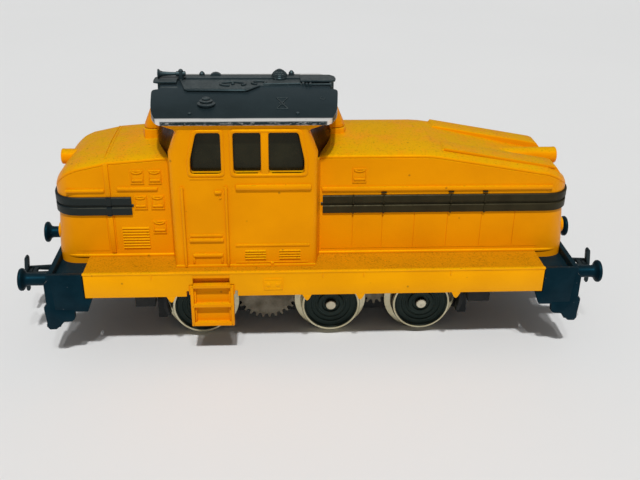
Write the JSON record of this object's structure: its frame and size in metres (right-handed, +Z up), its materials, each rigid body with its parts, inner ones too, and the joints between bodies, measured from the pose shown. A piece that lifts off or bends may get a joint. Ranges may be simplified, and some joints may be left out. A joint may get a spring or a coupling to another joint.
{
  "type": "model diesel shunting locomotive",
  "caption": "Small scale centre-cab diesel shunter with hoods, rigid wheelsets driven through spur gears, ladders, sprung-look buffers and hook couplings.",
  "frame": {"origin": "centre of the bounding box's base, on the plane the wheel flanges stand on", "axes": "+X along the length towards the long hood, +Y across to the far side of the pictured view, +Z up"},
  "size_m": [0.1138, 0.0346, 0.0502],
  "materials": {
    "body_plastic": "orange-yellow moulded plastic, satin, dusty on top faces",
    "roof_plastic": "blue-black satin plastic, silver wear along the eaves",
    "stripe_paint": "printed dark brown-black band, flat",
    "window_glazing": "dark glazing, glossy",
    "lamp_lens": "small clear lamp lens",
    "black_plastic": "blue-black moulded plastic, lightly worn",
    "coupler_black": "blackened sheet metal",
    "frame_casting": "grey cast metal, matt",
    "bright_steel": "plain bright steel",
    "gear_metal": "grey-beige oily gear metal",
    "tyre_steel": "turned warm silver wheel tyre",
    "wheel_plastic": "black moulded wheel centre",
    "traction_rubber": "dark brown rubber band",
    "copper_winding": "enamelled copper winding on an iron core",
    "phenolic_board": "brown insulating board"
  },
  "bodies": {
    "locomotive": {"body_shell": "body_plastic", "ladder_near": "body_plastic", "ladder_far": "body_plastic", "cab_roof": "roof_plastic", "roof_horn": "roof_plastic", "roof_vent": "roof_plastic", "roof_exhaust_dome": "roof_plastic", "stripe_long_hood": "stripe_paint", "stripe_short_hood": "stripe_paint", "cab_glazing": "window_glazing", "lens_top_long": "lamp_lens", "lens_top_short": "lamp_lens", "lens_low_long_near": "lamp_lens", "lens_low_long_far": "lamp_lens", "lens_low_short_near": "lamp_lens", "lens_low_short_far": "lamp_lens", "keeper_plate": "black_plastic", "buffer_beam_long": "black_plastic", "buffer_beam_short": "black_plastic", "buffer_long_near": "black_plastic", "buffer_long_far": "black_plastic", "buffer_short_near": "black_plastic", "buffer_short_far": "black_plastic", "chassis_frame": "frame_casting", "ballast_weight": "frame_casting", "motor_block": "frame_casting", "coupler_pin_long": "bright_steel", "coupler_pin_short": "bright_steel", "keeper_screw_rear": "bright_steel", "keeper_screw_front": "bright_steel", "brush_plate": "phenolic_board", "reversing_unit": "phenolic_board"},
    "wheelset_rear": {"axle_rear": "gear_metal", "tyre_rear_near": "tyre_steel", "tyre_rear_far": "tyre_steel", "wheel_centre_rear_near": "wheel_plastic", "wheel_centre_rear_far": "wheel_plastic"},
    "wheelset_mid": {"axle_mid": "gear_metal", "tyre_mid_near": "tyre_steel", "tyre_mid_far": "tyre_steel", "wheel_centre_mid_near": "wheel_plastic", "wheel_centre_mid_far": "wheel_plastic"},
    "wheelset_front": {"axle_front": "gear_metal", "tyre_front_near": "tyre_steel", "tyre_front_far": "tyre_steel", "wheel_centre_front_near": "wheel_plastic", "wheel_centre_front_far": "wheel_plastic", "traction_tyre_near": "traction_rubber", "traction_tyre_far": "traction_rubber"},
    "idler_gear_a": {"gear_idler_a": "gear_metal"},
    "idler_gear_b": {"gear_idler_b": "gear_metal"},
    "transfer_gear": {"gear_transfer": "gear_metal"},
    "motor_armature": {"armature": "copper_winding"},
    "coupler_long_arm": {"coupler_long": "coupler_black"},
    "coupler_short_arm": {"coupler_short": "coupler_black"},
    "coupler_long_bow": {"coupler_bow_long": "coupler_black"},
    "coupler_short_bow": {"coupler_bow_short": "coupler_black"},
    "pickup": {"pickup_shoe": "bright_steel"}
  },
  "joints": [
    {"name": "wheelset_mid_spin", "type": "hinge", "parent": "locomotive", "child": "wheelset_mid", "pos_m": [0.00309, 0, 0.00694], "axis": [0, 1, 0], "continuous": true},
    {"name": "wheelset_rear_spin", "type": "hinge", "parent": "locomotive", "child": "wheelset_rear", "pos_m": [-0.02147, 0, 0.00694], "axis": [0, 1, 0], "continuous": true},
    {"name": "wheelset_front_spin", "type": "hinge", "parent": "locomotive", "child": "wheelset_front", "pos_m": [0.02059, 0, 0.00694], "axis": [0, 1, 0], "continuous": true},
    {"name": "idler_a_spin", "type": "hinge", "parent": "locomotive", "child": "idler_gear_a", "pos_m": [-0.00919, 0, 0.00866], "axis": [0, 1, 0], "continuous": true},
    {"name": "idler_b_spin", "type": "hinge", "parent": "locomotive", "child": "idler_gear_b", "pos_m": [0.01184, 0, 0.00788], "axis": [0, 1, 0], "continuous": true},
    {"name": "transfer_spin", "type": "hinge", "parent": "locomotive", "child": "transfer_gear", "pos_m": [-0.00624, 0, 0.01967], "axis": [0, 1, 0], "continuous": true},
    {"name": "armature_spin", "type": "hinge", "parent": "locomotive", "child": "motor_armature", "pos_m": [0.00125, 0, 0.02099], "axis": [0, 1, 0], "continuous": true},
    {"name": "coupler_long_swing", "type": "hinge", "parent": "locomotive", "child": "coupler_long_arm", "pos_m": [0.043, 0, 0.009], "axis": [0, 0, 1], "range_deg": [-10, 10]},
    {"name": "coupler_long_lift", "type": "hinge", "parent": "coupler_long_arm", "child": "coupler_long_bow", "pos_m": [0.0515, 0, 0.00975], "axis": [0, -1, 0], "range_deg": [0, 20]},
    {"name": "coupler_short_swing", "type": "hinge", "parent": "locomotive", "child": "coupler_short_arm", "pos_m": [-0.043, 0, 0.009], "axis": [0, 0, 1], "range_deg": [-10, 10]},
    {"name": "coupler_short_lift", "type": "hinge", "parent": "coupler_short_arm", "child": "coupler_short_bow", "pos_m": [-0.0515, 0, 0.00975], "axis": [0, 1, 0], "range_deg": [0, 20]},
    {"name": "pickup_slide", "type": "slide", "parent": "locomotive", "child": "pickup", "axis": [0, 0, 1], "range_m": [0, 0.0007], "stiffness_N_per_m": 20, "springref_m": -0.002}
  ],
  "couplings": [
    {"joint": "wheelset_rear_spin", "follows": "wheelset_mid_spin", "ratio": 1},
    {"joint": "wheelset_front_spin", "follows": "wheelset_mid_spin", "ratio": 1},
    {"joint": "idler_a_spin", "follows": "wheelset_mid_spin", "ratio": -1},
    {"joint": "idler_b_spin", "follows": "wheelset_mid_spin", "ratio": -2.3846},
    {"joint": "transfer_spin", "follows": "wheelset_mid_spin", "ratio": 1.1923},
    {"joint": "armature_spin", "follows": "wheelset_mid_spin", "ratio": -2.5833}
  ]
}
